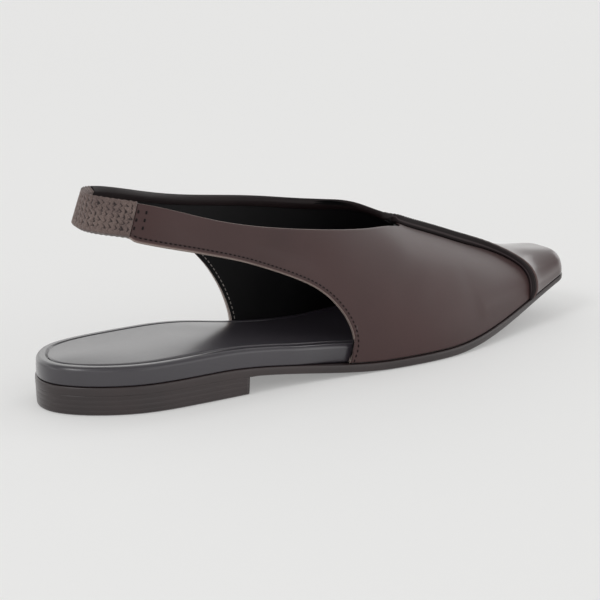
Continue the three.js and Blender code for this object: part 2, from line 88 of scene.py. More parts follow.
# edge of the wrap panel from above: share of length, share of ball width
wrapRows = [
    (0.60, 0.000), (0.69, 0.014), (0.75, 0.026), (0.80, 0.020), (0.845, 0.004),
    (0.874, -0.034), (0.896, -0.087), (0.909, -0.150), (0.909, -0.210),
    (0.899, -0.270), (0.880, -0.400),
]


# Curves and surfaces
def smooth(t):
    # 3t^2 - 2t^3 between 0 and 1
    s = np.clip(t, 0.0, 1.0)
    return s * s * (3.0 - 2.0 * s)


def splineThrough(places, values):
    # Natural cubic through the points: second slopes from one linear system
    t, v = np.asarray(places, float), np.asarray(values, float)
    h, n = np.diff(t), len(t)
    a, b = np.zeros((n, n)), np.zeros(n)
    a[0, 0] = a[-1, -1] = 1.0
    r = np.arange(1, n - 1)
    a[r, r - 1], a[r, r], a[r, r + 1] = h[:-1], 2.0 * (h[:-1] + h[1:]), h[1:]
    b[1:-1] = 6.0 * np.diff(np.diff(v) / h)
    m = np.linalg.solve(a, b)

    def at(x):
        x = np.clip(x, t[0], t[-1])
        i = np.clip(np.searchsorted(t, x) - 1, 0, n - 2)
        left, right, k = t[i + 1] - x, x - t[i], h[i]
        return ((m[i] * left ** 3 + m[i + 1] * right ** 3) / (6.0 * k)
                + (v[i] / k - m[i] * k / 6.0) * left + (v[i + 1] / k - m[i + 1] * k / 6.0) * right)
    return at


def catmullRom(rows, count):
    # Uniform Catmull-Rom curve through a table of 2-D rows
    q = np.asarray(rows, float)
    q = np.vstack([q[:1], q, q[-1:]])
    t = np.linspace(0.0, len(rows) - 1.0, count)
    i = np.minimum(t.astype(int), len(rows) - 2)
    w = (t - i)[:, None]
    p0, p1, p2, p3 = q[i], q[i + 1], q[i + 2], q[i + 3]
    m1, m2 = (p2 - p0) / 2.0, (p3 - p1) / 2.0
    return ((2 * p1 - 2 * p2 + m1 + m2) * w ** 3 + (-3 * p1 + 3 * p2 - 2 * m1 - m2) * w ** 2
            + m1 * w + p1)


column = lambda rows, k: [row[k] for row in rows]
rootPlaces = np.sqrt(column(outlineRows, 0))
halfOf = {"lateral": splineThrough(rootPlaces, column(outlineRows, 1)),
          "medial": splineThrough(rootPlaces, column(outlineRows, 2))}
lastOf = {name: splineThrough(column(lastRows, 0), column(lastRows, k + 1))
          for k, name in enumerate(["top", "side", "crown", "arch", "ridge"])}
topOf = {"lateral": splineThrough(column(topRows, 0), column(topRows, 1)),
         "medial": splineThrough(column(topRows, 0), column(topRows, 2))}

bodyLength = shoe["length"] - shoe["toeCorner"] - heelRound
heelArc, toeArc = heelRound * math.pi / 2, shoe["toeCorner"] * math.pi / 2
runLength = heelArc + bodyLength + toeArc  # path along the sole's edge, heel to toe corner


def stationX(run):
    # Quarter circle at the heel, straight body, quarter circle at the toe's corner
    heel = heelRound * (1.0 - np.cos(np.clip(run, 0.0, heelArc) / heelRound))
    body = np.clip(run - heelArc, 0.0, bodyLength)
    corner = shoe["toeCorner"] * np.sin(np.clip(run - heelArc - bodyLength, 0.0, toeArc) / shoe["toeCorner"])
    return heel + body + corner


def runAt(x):
    # Run of a place along the shoe, by table
    runs = np.linspace(0.0, runLength, 4001)
    return np.interp(x, stationX(runs), runs)


def soleTop(x):
    s = x / shoe["length"]
    fall = smooth((s - shoe["waist"]) / (shoe["ball"] - shoe["waist"]))
    lift = np.maximum((s - shoe["lift"]) / (1.0 - shoe["lift"]), 0.0)
    return shoe["outsole"] + shoe["heelHeight"] * (1.0 - fall) + shoe["toeSpring"] * lift ** shoe["sweep"]


def soleUnder(x):
    thin = smooth((x / shoe["length"] - shoe["lift"]) / (1.0 - shoe["lift"]))
    return soleTop(x) - shoe["outsole"] + (shoe["outsole"] - shoe["outsoleToe"]) * thin


def soleHalf(x, side):
    # Half width with the rounded toe corner taken off
    t = np.clip((x - shoe["length"] + shoe["toeCorner"]) / shoe["toeCorner"], 0.0, 1.0)
    cut = shoe["toeCorner"] * (1.0 - np.sqrt(1.0 - t * t))
    return np.maximum(halfOf[side](np.sqrt(np.maximum(x, 0.0) / shoe["length"])) * shoe["ballWidth"] - cut, 0.0)


def edgeAt(run, side, inset):
    # Edge of the sole at a run, moved in along its normal by the inset: x and half width
    step = 0.4
    a, b = np.clip(run - step, 0.0, runLength), np.clip(run + step, 0.0, runLength)
    x = stationX(run)
    dx, dh = stationX(b) - stationX(a), soleHalf(stationX(b), side) - soleHalf(stationX(a), side)
    atEnd = run > runLength - 1e-6
    dx, dh = np.where(atEnd, 0.0, dx), np.where(atEnd, -1.0, dh)
    atHeel = run < 1e-6
    dx, dh = np.where(atHeel, 0.0, dx), np.where(atHeel, 1.0, dh)
    size = np.hypot(dx, dh) + 1e-12
    return x + dh / size * inset, np.maximum(soleHalf(x, side) - dx / size * inset, 0.0)


def lastPoint(run, turn, inset):
    # Section of the last: y = edge*|cos|^(2/crown), z = base + rise*sin^(2/side), leaning
    # forward at the sling; turn 0 is the lateral edge and pi the medial edge
    run, turn, inset = np.broadcast_arrays(run, turn, inset)
    lateral = turn < math.pi / 2
    ex0, eh0 = edgeAt(run, "lateral", inset + shoe["ledge"])
    ex1, eh1 = edgeAt(run, "medial", inset + shoe["ledge"])
    ex, eh = np.where(lateral, ex0, ex1), np.where(lateral, eh0, eh1)
    x = stationX(run)
    s = x / shoe["length"]
    base = soleTop(x)
    tip = np.clip((x - shoe["length"] + shoe["toeDrop"]) / shoe["toeDrop"], 0.0, 1.0)
    drop = shoe["toeDrop"] * (1.0 - np.sqrt(1.0 - tip * tip))
    rise = np.maximum(lastOf["top"](s) * shoe["slingHeight"] - base - inset - drop, 1.0)
    up = np.abs(np.sin(turn)) ** (2.0 / lastOf["side"](s))
    out = np.abs(np.cos(turn)) ** (2.0 / lastOf["crown"](s))
    arch = np.where(lateral, 0.0, np.maximum(lastOf["arch"](s), 0.0) * shoe["ballWidth"] * np.sin(math.pi * np.clip(up, 0, 1)))
    z = base + rise * up
    behind = np.maximum(1.0 - x / shoe["slingReach"], 0.0) ** 1.5
    lean = shoe["slingLean"] * behind * (z - base) / (shoe["slingHeight"] - shoe["heelHeight"] - shoe["outsole"])
    y = np.where(lateral, -1.0, 1.0) * (eh * out + arch) + lastOf["ridge"](s) * shoe["ballWidth"] * up * up
    past = np.clip((run - runLength) / shoe["toeCap"], 0.0, 1.0)  # past the corner the section shrinks over the front
    front = shoe["toeBow"] * np.sin(past * math.pi / 2) ** 2
    return np.stack([ex + lean + front, y * (1 - past), base + (z - base) * (1 - past)], -1)


def turnAtHeight(run, z, side):
    # Turn on one side of the section where its height is z
    x = stationX(run)
    s, base = x / shoe["length"], soleTop(x)
    up = np.clip((z - base) / (lastOf["top"](s) * shoe["slingHeight"] - base), 0.0, 1.0)
    turn = np.arcsin(up ** (lastOf["side"](s) / 2.0))
    return turn if side == "lateral" else math.pi - turn


def solve(f, low, high, steps=46):
    # Bisection on whole arrays: f rises from below zero at low to above it at high
    low, high = np.array(low, float), np.array(high, float)
    for _ in range(steps):
        middle = (low + high) / 2.0
        below = f(middle) < 0.0
        low, high = np.where(below, middle, low), np.where(below, high, middle)
    return (low + high) / 2.0


def onSide(x, z, side):
    # Run and turn of the points of one side with this place along the shoe and height
    run = solve(lambda r: lastPoint(r, turnAtHeight(r, z, side), 0.0)[..., 0] - x,
                np.zeros_like(x), np.full_like(x, runLength))
    return np.stack([run, turnAtHeight(run, z, side)], -1)


def onTop(x, y):
    # Run and turn of the points seen from above at this place, lateral edge to medial edge
    run, turn = runAt(x), np.full_like(x, math.pi / 2)
    for _ in range(6):
        turn = solve(lambda t: lastPoint(run, t, 0.0)[..., 1] - y, np.zeros_like(x), np.full_like(x, math.pi))
        run = solve(lambda r: lastPoint(r, turn, 0.0)[..., 0] - x, np.zeros_like(x), np.full_like(x, runLength))
    return np.stack([run, turn], -1)


def resample(points, count, measure=None):
    # Points of a line, evenly spaced by its length in the measure
    q = points if measure is None else measure
    d = np.concatenate([[0.0], np.cumsum(np.linalg.norm(np.diff(q, axis=0), axis=1))])
    t = np.linspace(0.0, d[-1], count)
    return np.stack([np.interp(t, d, points[:, k]) for k in range(points.shape[1])], -1)


def surfaceLine(line, inset=0.0):
    return lastPoint(line[:, 0], line[:, 1], inset)


def evenLine(line, count):
    return resample(line, count, surfaceLine(line))


# Mesh and node helpers
def hexColour(code):
    # sRGB hex to linear RGBA
    v = np.array([int(code[i:i + 2], 16) for i in (1, 3, 5)]) / 255.0
    v = np.where(v <= 0.04045, v / 12.92, ((v + 0.055) / 1.055) ** 2.4)
    return (*v.tolist(), 1.0)


def toRow(points):
    # Shoe millimetres from the heel's back to the row frame in metres
    return (np.asarray(points, float) - [shoe["heelLength"] / 2.0, 0.0, 0.0]) * mm


def addMesh(name, points, faces, materials, slots=None, attributes=None, merge=0.01):
    mesh = bpy.data.meshes.new(name)
    mesh.from_pydata(toRow(points).tolist(), [], [list(f) for f in faces])
    for key, values in (attributes or {}).items():
        layer = mesh.attributes.new(key, "FLOAT", "POINT")
        layer.data.foreach_set("value", np.asarray(values, np.float32).ravel())
    for material in materials:
        mesh.materials.append(material)
    if slots is not None:
        mesh.polygons.foreach_set("material_index", np.asarray(slots, np.int32))
    mesh.validate()
    bm = bmesh.new()
    bm.from_mesh(mesh)
    bmesh.ops.remove_doubles(bm, verts=bm.verts, dist=merge * mm)
    bmesh.ops.dissolve_degenerate(bm, edges=bm.edges, dist=1e-7)
    bmesh.ops.recalc_face_normals(bm, faces=bm.faces)
    bm.to_mesh(mesh)
    bm.free()
    mesh.polygons.foreach_set("use_smooth", np.ones(len(mesh.polygons), bool))
    mesh.update()
    piece = bpy.data.objects.new(name, mesh)
    bpy.context.scene.collection.objects.link(piece)
    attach(piece, "root")
    return piece


def gridFaces(rows, columns, closed=False, start=0):
    # Quads of a grid of points in row order; closed joins the last column to the first
    i, j = np.meshgrid(np.arange(rows - 1), np.arange(columns if closed else columns - 1), indexing="ij")
    k = (j + 1) % columns
    return (np.stack([i * columns + j, i * columns + k, (i + 1) * columns + k, (i + 1) * columns + j], -1)
            .reshape(-1, 4) + start)


def addNode(tree, kind, settings=None, links=None, **sockets):
    # One node with its settings, socket values and incoming links
    node = tree.nodes.new(kind)
    for key, value in (settings or {}).items():
        setattr(node, key, value)
    for key, value in {**sockets, **(links or {})}.items():
        socket = node.inputs[int(key[1:])] if key[0] == "i" and key[1:].isdigit() else node.inputs[key.replace("_", " ")]
        if isinstance(value, bpy.types.NodeSocket):
            tree.links.new(value, socket)
        else:
            socket.default_value = value
    return node


def newMaterial(name):
    material = bpy.data.materials.new(name)
    material.use_nodes = True
    tree = material.node_tree
    tree.nodes.clear()
    return material, tree


def leather(name, look, marks=()):
    # Leather: pore cells and fine grain in the bump, slow shade in colour and roughness.
    # A mark is a band of one point attribute, in mm: where it lies, its half width, its
    # colour with a share, and its depth
    material, tree = newMaterial(name)
    place = addNode(tree, "ShaderNodeTexCoord").outputs["Object"]
    cells = addNode(tree, "ShaderNodeTexVoronoi", {"feature": "DISTANCE_TO_EDGE"},
                    Vector=place, Scale=1.0 / (look["grain"] * mm))
    crease = addNode(tree, "ShaderNodeMapRange", i0=cells.outputs["Distance"], i1=0.0, i2=0.35)
    fine = addNode(tree, "ShaderNodeTexNoise", Vector=place, Scale=1.0 / (look["fine"] * mm), Detail=4.0, Roughness=0.6)
    slow = addNode(tree, "ShaderNodeTexNoise", Vector=place, Scale=1.0 / (look["cloud"] * mm), Detail=3.0, Roughness=0.55)
    soft = addNode(tree, "ShaderNodeTexNoise", Vector=place, Scale=1.0 / (look["dimple"] * mm), Detail=2.0, Roughness=0.5)
    height = addNode(tree, "ShaderNodeMath", {"operation": "MULTIPLY_ADD"},
                     i0=fine.outputs["Fac"], i1=0.45, i2=crease.outputs["Result"])
    shade = addNode(tree, "ShaderNodeMapRange", i0=slow.outputs["Fac"], i1=0.3, i2=0.7)
    tint = addNode(tree, "ShaderNodeMix", {"data_type": "RGBA"}, i0=shade.outputs["Result"],
                   i6=hexColour(look["dark"]), i7=hexColour(look["light"]))
    pores = addNode(tree, "ShaderNodeMix", {"data_type": "RGBA", "blend_type": "MULTIPLY"}, i0=look["poreDepth"],
                    i6=tint.outputs["Result"], i7=crease.outputs["Result"])
    rough = addNode(tree, "ShaderNodeMapRange", i0=slow.outputs["Fac"], i1=0.3, i2=0.7,
                    i3=look["rough"] - look["roughSpread"], i4=look["rough"] + look["roughSpread"])
    wide = addNode(tree, "ShaderNodeBump", Strength=look["dimpleStrength"], Distance=0.4 * mm, Height=soft.outputs["Fac"])
    bump = addNode(tree, "ShaderNodeBump", Strength=look["grainStrength"], Distance=0.05 * mm,
                   Height=height.outputs["Value"], Normal=wide.outputs["Normal"])
    colour, normal = pores.outputs["Result"], bump.outputs["Normal"]
    for of, at, half, paint, share, depth in marks:
        where = addNode(tree, "ShaderNodeAttribute", {"attribute_name": of}).outputs["Fac"]
        off = addNode(tree, "ShaderNodeMath", {"operation": "SUBTRACT"}, i0=where, i1=at)
        off = addNode(tree, "ShaderNodeMath", {"operation": "ABSOLUTE"}, i0=off.outputs["Value"])
        band = addNode(tree, "ShaderNodeMapRange", {"interpolation_type": "SMOOTHSTEP"},
                       i0=off.outputs["Value"], i1=half, i2=half * 0.3, i3=0.0, i4=1.0)
        share = addNode(tree, "ShaderNodeMath", {"operation": "MULTIPLY"}, i0=band.outputs["Result"], i1=share)
        colour = addNode(tree, "ShaderNodeMix", {"data_type": "RGBA"}, i0=share.outputs["Value"],
                         i6=colour, i7=hexColour(paint)).outputs["Result"]
        if depth:
            dent = addNode(tree, "ShaderNodeMath", {"operation": "SUBTRACT"}, i0=1.0, i1=band.outputs["Result"])
            normal = addNode(tree, "ShaderNodeBump", Strength=1.0, Distance=depth * mm,
                             Height=dent.outputs["Value"], Normal=normal).outputs["Normal"]
    shader = addNode(tree, "ShaderNodeBsdfPrincipled", Base_Color=colour, Roughness=rough.outputs["Result"],
                     Normal=normal, Metallic=0.0, IOR=look["ior"])
    shader.inputs["Coat Weight"].default_value = look["coat"]
    shader.inputs["Coat Roughness"].default_value = look["coatRough"]
    shader.inputs["Sheen Weight"].default_value = look["sheen"]
    shader.inputs["Sheen Roughness"].default_value = 0.5
    addNode(tree, "ShaderNodeOutputMaterial", Surface=shader.outputs["BSDF"])
    return material


# Aniline-dyed calf, smooth and lightly finished: close pores and a satin sheen. Its marks paint shade into the
# pressed line where the side opening is stitched, a highlight along the opening's rolled edge and shade along the
# feather line over the sole
calf = {
    "grain": 0.55, "fine": 0.16, "cloud": 45.0, "dimple": 26.0, "dark": "#3f2928", "light": "#472f2e",
    "poreDepth": 0.12, "rough": 0.42, "roughSpread": 0.03, "grainStrength": 0.3, "dimpleStrength": 0.22,
    "ior": 1.4, "coat": 0.0, "coatRough": 0.3, "sheen": 0.1}
# Painted shade in the pressed stitch line, painted highlight on the opening's rolled edge, painted shade along the
# feather line over the sole
calfMarks = [("seam", 1.4, 0.35, "#2a1d1c", 0.5, 0.1), ("seam", 0.0, 0.5, "#7a655f", 0.6, 0.0),
             ("foot", 0.0, 0.8, "#191112", 0.9, 0.1)]
upperCalf = leather("calfUpper", calf, calfMarks)
# The same calf brushed up with wax over the toe: a clearer pale reflection on its flat top
toeCalf = leather("waxedCalfToe", {**calf, "coat": 0.8, "coatRough": 0.2, "sheen": 0.5}, calfMarks)
# Black lining kid: matt, nearly no reflection
liningKid = leather("kidLining", {
    "grain": 0.45, "fine": 0.14, "cloud": 30.0, "dimple": 18.0, "dark": "#0b0a0c", "light": "#121113",
    "poreDepth": 0.15, "rough": 0.6, "roughSpread": 0.04, "grainStrength": 0.4, "dimpleStrength": 0.2,
    "ior": 1.35, "coat": 0.0, "coatRough": 0.4, "sheen": 0.0})
# Charcoal sock leather with a waxy finish: soft broad highlights on the rim
sockLeather = leather("wrappedSockLeather", {
    "grain": 0.5, "fine": 0.15, "cloud": 35.0, "dimple": 22.0, "dark": "#29252c", "light": "#302b33",
    "poreDepth": 0.12, "rough": 0.38, "roughSpread": 0.04, "grainStrength": 0.3, "dimpleStrength": 0.15,
    "ior": 1.5, "coat": 0.9, "coatRough": 0.2, "sheen": 0.0})
# Cut edge coloured pale all along: a painted highlight where the edge would catch the light
cutEdgeHighlight = leather("cutEdgeWithPaintedHighlight", {
    "grain": 0.4, "fine": 0.12, "cloud": 20.0, "dimple": 12.0, "dark": "#93837c", "light": "#a3938c",
    "poreDepth": 0.05, "rough": 0.35, "roughSpread": 0.04, "grainStrength": 0.2, "dimpleStrength": 0.1,
    "ior": 1.5, "coat": 0.3, "coatRough": 0.25, "sheen": 0.0})
# Folded binding in near black, with a painted highlight as a paler line along its side and a pale calf brown on its
# panel side, painted as the highlight of the rolled calf edge behind it
bindingCalf = leather("calfBinding", {
    "grain": 0.45, "fine": 0.14, "cloud": 18.0, "dimple": 14.0, "dark": "#170f11", "light": "#1f1516",
    "poreDepth": 0.1, "rough": 0.5, "roughSpread": 0.03, "grainStrength": 0.3, "dimpleStrength": 0.15,
    "ior": 1.3, "coat": 0.0, "coatRough": 0.22, "sheen": 0.0},
    [("strip", -1.3, 0.3, "#4d4345", 0.7, 0.0), ("strip", 2.1, 1.1, "#5a4745", 0.95, 0.0)])
# Burnished sole leather: dark brown, waxed, faintly streaked along its edge
soleEdge = leather("burnishedSoleLeather", {
    "grain": 0.3, "fine": 0.1, "cloud": 25.0, "dimple": 16.0, "dark": "#251b1c", "light": "#302323",
    "poreDepth": 0.1, "rough": 0.36, "roughSpread": 0.06, "grainStrength": 0.25, "dimpleStrength": 0.15,
    "ior": 1.5, "coat": 0.35, "coatRough": 0.25, "sheen": 0.0})
# Gathered elastic: pale pleats with painted shade darkening the gaps between them, matt with a little nap
elasticKnit = leather("gatheredElastic", {
    "grain": 0.5, "fine": 0.2, "cloud": 12.0, "dimple": 10.0, "dark": "#685653", "light": "#86746e",
    "poreDepth": 0.5, "rough": 0.8, "roughSpread": 0.05, "grainStrength": 1.0, "dimpleStrength": 0.2,
    "ior": 1.45, "coat": 0.0, "coatRough": 0.4, "sheen": 0.2},
    [("pleat", 0.0, 0.8, "#241a1b", 0.95, 0.0)])
# Polyester thread a shade darker than the calf
threadBrown = leather("polyesterThread", {
    "grain": 0.3, "fine": 0.1, "cloud": 8.0, "dimple": 6.0, "dark": "#120a0b", "light": "#1a1011",
    "poreDepth": 0.1, "rough": 0.7, "roughSpread": 0.03, "grainStrength": 0.3, "dimpleStrength": 0.1,
    "ior": 1.3, "coat": 0.0, "coatRough": 0.4, "sheen": 0.0})
# Pale thread on the lining side
threadPale = leather("paleBobbinThread", {
    "grain": 0.3, "fine": 0.1, "cloud": 8.0, "dimple": 6.0, "dark": "#8d8784", "light": "#a19a96",
    "poreDepth": 0.1, "rough": 0.5, "roughSpread": 0.03, "grainStrength": 0.3, "dimpleStrength": 0.1,
    "ior": 1.5, "coat": 0.0, "coatRough": 0.4, "sheen": 0.1})

# Boundary lines on the last
print("lines on the last")


def seamX(z):
    return shoe["elasticEnd"] - (shoe["slingHeight"] - z) * shoe["elasticSlant"]


def topLineOn(side, start, end, count):
    # Top line on one side between two shares of the length
    x = np.linspace(start, end, count) * shoe["length"]
    return onSide(x, topOf[side](x / shoe["length"]) * shoe["slingHeight"], side)


def openingOn(side, gap=0.0, count=500):
    # Edge of a side opening from the elastic's seam to the sole
    q = catmullRom(openingRows[side], count) * [shoe["length"], shoe["slingHeight"]]
    foot = soleTop(q[:, 0]) + shoe["clearance"]
    keep = (q[:, 0] > seamX(q[:, 1]) + gap) & (q[:, 1] > foot)
    q = q[keep]
    line = onSide(q[:, 0], q[:, 1], side)
    footTurn = 0.0 if side == "lateral" else math.pi
    return np.vstack([line, [[line[-1, 0] - 0.3, footTurn]]])


def wrapPlan(shift, count=400):
    # Plan line of the wrap edge moved towards the panel
    q = catmullRom(wrapRows, count) * [shoe["length"], shoe["ballWidth"]]
    tangent = np.gradient(q, axis=0)
    tangent /= np.linalg.norm(tangent, axis=1)[:, None]
    return q + np.stack([-tangent[:, 1], tangent[:, 0]], -1) * shift


wrapSamples = wrapPlan(0.0, 120)


def wrapLift(points):
    # How far the wrap panel stands over the lateral panel: foot + rise exp(-distance / fade),
    # where the rise grows from the throat on, is larger over the instep and tucks in at the sole
    near = np.min(np.hypot(points[..., None, 0] - wrapSamples[:, 0], points[..., None, 1] - wrapSamples[:, 1]), -1)
    s = points[..., 0] / shoe["length"]
    tuck = smooth((points[..., 2] - soleTop(points[..., 0])) / shoe["wrapTuck"])
    rise = shoe["wrapRise"] + shoe["wrapInstep"] * (1.0 - smooth((s - 0.82) / 0.08))
    return shoe["wrapFoot"] + rise * np.exp(-near / shoe["wrapFade"]) * tuck * smooth((s - 0.63) / 0.07)


def wrapOn(shift, count=400):
    # Wrap edge on the last from the throat to the sole, with its turn at the foot
    q = wrapPlan(shift, count)
    line = onTop(q[:, 0], q[:, 1])
    p = surfaceLine(line)
    off = np.hypot(p[:, 0] - q[:, 0], p[:, 1] - q[:, 1])
    inside = (line[:, 1] > 0.015) & (off < 0.5)
    last = np.argmax(~inside) if (~inside).any() else count
    line = line[:last]
    return np.vstack([line, [[line[-1, 0] - 0.2, 0.0]]])


def join(*lines):
    return np.vstack(lines)


def soleLine(side, start, end, count):
    # Feather line between two runs
    turn = 0.0 if side == "lateral" else math.pi
    return np.stack([np.linspace(start, end, count), np.full(count, turn)], -1)


gap = shoe["clearance"]
opening = {side: openingOn(side, gap) for side in ("lateral", "medial")}


def topStart(side):
    # Share of the length where the top line meets the elastic's seam
    x = np.linspace(0.02, 0.25, 800) * shoe["length"]
    z = topOf[side](x / shoe["length"]) * shoe["slingHeight"]
    return float(x[np.argmax(x > seamX(z) + gap)]) / shoe["length"]


def smoothLine(points, count):
    # Natural spline through points on the last, by their spacing
    p = surfaceLine(points)
    d = np.concatenate([[0.0], np.cumsum(np.linalg.norm(np.diff(p, axis=0), axis=1))])
    t = np.linspace(0.0, d[-1], count)
    return np.stack([splineThrough(d, points[:, k])(t) for k in (0, 1)], -1)


def frameOn(line):
    # Point, tangent, outward normal and sideways direction of a line on the last,
    # with the steps of run and turn that move it sideways by one millimetre
    step = 1e-3
    p = surfaceLine(line)
    dRun = (lastPoint(line[:, 0] + 0.1, line[:, 1], 0.0) - lastPoint(line[:, 0] - 0.1, line[:, 1], 0.0)) / 0.2
    dTurn = (lastPoint(line[:, 0], line[:, 1] + step, 0.0) - lastPoint(line[:, 0], line[:, 1] - step, 0.0)) / (2 * step)
    normal = np.cross(dRun, dTurn)
    outward = lastPoint(line[:, 0], line[:, 1], -0.5) - p
    normal *= np.sign(np.sum(normal * outward, -1))[:, None]
    normal /= np.linalg.norm(normal, axis=1)[:, None] + 1e-12
    tangent = np.gradient(p, axis=0)
    tangent /= np.linalg.norm(tangent, axis=1)[:, None] + 1e-12
    aside = np.cross(normal, tangent)
    a, b, c = (np.sum(u * v, -1) for u, v in ((dRun, dRun), (dRun, dTurn), (dTurn, dTurn)))
    d, e = np.sum(aside * dRun, -1), np.sum(aside * dTurn, -1)
    det = a * c - b * b + 1e-9
    return p, tangent, normal, aside, np.stack([(c * d - b * e) / det, (a * e - b * d) / det], -1)


def shiftLine(line, distance):
    # Line moved sideways over the last, to the left of its direction seen from outside
    return line + frameOn(line)[4] * distance


# rim of the medial panel: its top line, the turn over the ridge, then the wrap edge
wrapLine = wrapOn(0.0)
wrapPlace = surfaceLine(wrapLine)[:, 0] / shoe["length"]
overRidge = np.array([(0.612, 0.150), (0.633, 0.090), (0.652, 0.045), (0.672, 0.022)])
overRidge = onTop(overRidge[:, 0] * shoe["length"], overRidge[:, 1] * shoe["ballWidth"])
medialTop = evenLine(topLineOn("medial", topStart("medial"), 0.585, 300), 26)
wrapPart = evenLine(wrapLine[wrapPlace > 0.692] if (np.diff(wrapPlace) > 0).all() else wrapLine[np.argmax(wrapPlace > 0.692):], 22)
rim = smoothLine(join(medialTop, overRidge, wrapPart), 900)
rim[-1, 1] = 0.0
rimPlace = surfaceLine(rim)

# lateral top line until it goes under the rim
lateralTop = topLineOn("lateral", topStart("lateral"), 0.56, 240)
turns = np.linspace(lateralTop[-1, 1] + 0.01, math.radians(97), 200)


def throatLine(turns):
    # Where the lateral top line meets the last at each turn near the ridge
    def below(run):
        p = lastPoint(run, turns, 0.0)
        return topOf["lateral"](p[..., 0] / shoe["length"]) * shoe["slingHeight"] - p[..., 2]
    low, high = runAt(0.50 * shoe["length"]), runAt(0.80 * shoe["length"])
    return np.stack([solve(below, np.full_like(turns, low), np.full_like(turns, high)), turns], -1)


throat = throatLine(turns)


def nearest(a, b):
    # Indices of the closest points of two lines on the last
    d = np.linalg.norm(surfaceLine(a)[:, None] - surfaceLine(b)[None], axis=-1)
    return np.unravel_index(np.argmin(d), d.shape)


def toFoot(line):
    # Line ended a little above the sole and carried straight on to it
    k = int(np.argmax((line[:, 1] < 0.1) & (np.arange(len(line)) > 20)))
    slope = (line[k, 0] - line[k - 12, 0]) / (line[k, 1] - line[k - 12, 1])
    return join(line[:k + 1], [[line[k, 0] - slope * line[k, 1], 0.0]])


under = toFoot(shiftLine(rim, 2.0))  # a lap of the lateral panel below the rim
iT, iW = nearest(throat, under)
lateralEdge, lateralFront = join(lateralTop, throat[:iT]), under[iW:]
panelEdge = toFoot(shiftLine(rim, 1.0))
print("throat", surfaceLine(throat[iT:iT + 1]).round(1), surfaceLine(rim[iW:iW + 1]).round(1))


# Panels of the upper
# Soft troughs (positive depth) and ridges (negative) listed as seen from the side:
# from and to as shares of length and sling height, width and depth in mm
creaseRows = {
    "lateral": [(0.355, 0.75, 0.425, 0.61, 9.0, 0.40), (0.655, 0.50, 0.600, 0.36, 7.0, 0.28),
                (0.585, 0.17, 0.660, 0.27, 6.0, 0.22), (0.775, 0.185, 0.900, 0.235, 5.0, -0.55),
                (0.760, 0.315, 0.880, 0.300, 6.0, 0.30),
                (0.175, 0.93, 0.215, 0.77, 5.0, 0.18)],
    "medial": [(0.300, 0.80, 0.350, 0.63, 9.0, 0.35), (0.600, 0.19, 0.670, 0.30, 6.0, 0.25),
               (0.760, 0.32, 0.900, 0.26, 7.0, -0.35), (0.520, 0.55, 0.480, 0.42, 8.0, 0.30)],
}


def creaseAt(points):
    # Sum of depth exp(-(distance / width)^2) over the crease segments of the point's side
    total = np.zeros(points.shape[:-1])
    q = points[..., [0, 2]]
    for side, sign in (("lateral", -1.0), ("medial", 1.0)):
        weight = smooth(0.5 + sign * points[..., 1] / 16.0)
        for x0, z0, x1, z1, width, depth in creaseRows[side]:
            a, b = (np.array([x * shoe["length"], z * shoe["slingHeight"]]) for x, z in ((x0, z0), (x1, z1)))
            t = np.clip((q - a) @ (b - a) / ((b - a) @ (b - a)), 0.0, 1.0)
            away = np.linalg.norm(q - a - t[..., None] * (b - a), axis=-1)
            total += weight * depth * np.exp(-(away / width) ** 2)
    return total


